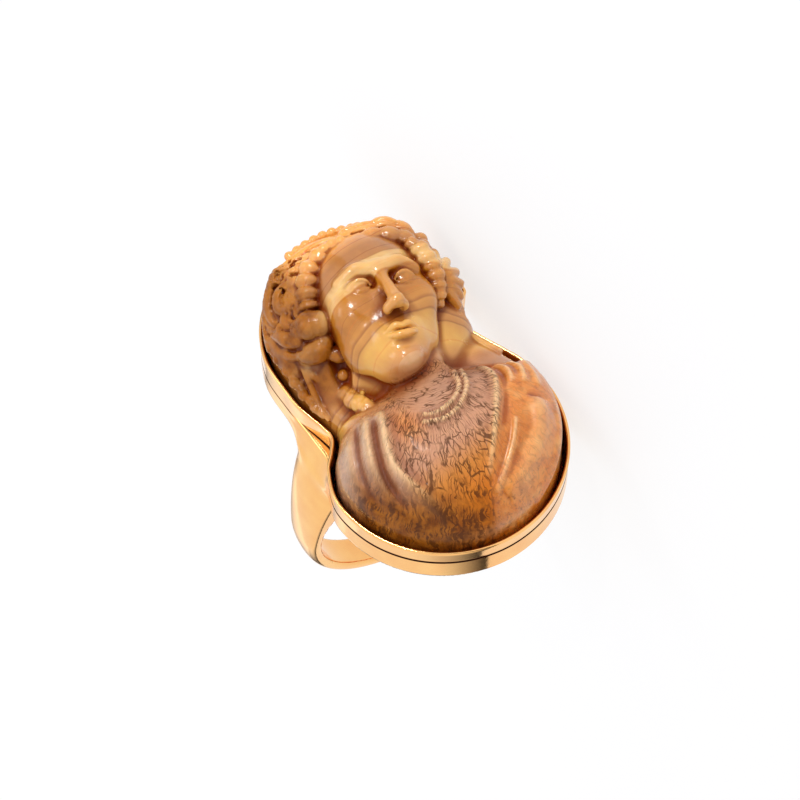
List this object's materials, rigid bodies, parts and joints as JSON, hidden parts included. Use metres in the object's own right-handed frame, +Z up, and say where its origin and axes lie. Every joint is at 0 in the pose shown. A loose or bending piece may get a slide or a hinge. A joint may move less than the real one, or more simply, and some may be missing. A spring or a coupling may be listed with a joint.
{
  "type": "cameo ring",
  "caption": "Ring with a high-relief carved stone cameo bust in a closed-back, waisted gold setting on a plain domed shank, lying on its side.",
  "frame": {"origin": "centre of the finger hole, at the middle of the shank's width", "axes": "the ring lies on its side: +X runs out through the carved face, 3 degrees below level, +Y along the finger towards the carved head, +Z is up"},
  "size_m": [0.0316, 0.0289, 0.0193],
  "materials": {
    "gold": "polished",
    "carved_stone": "waxy polish"
  },
  "bodies": {
    "root": {"setting": "gold", "cameo": "carved_stone"}
  },
  "joints": []
}
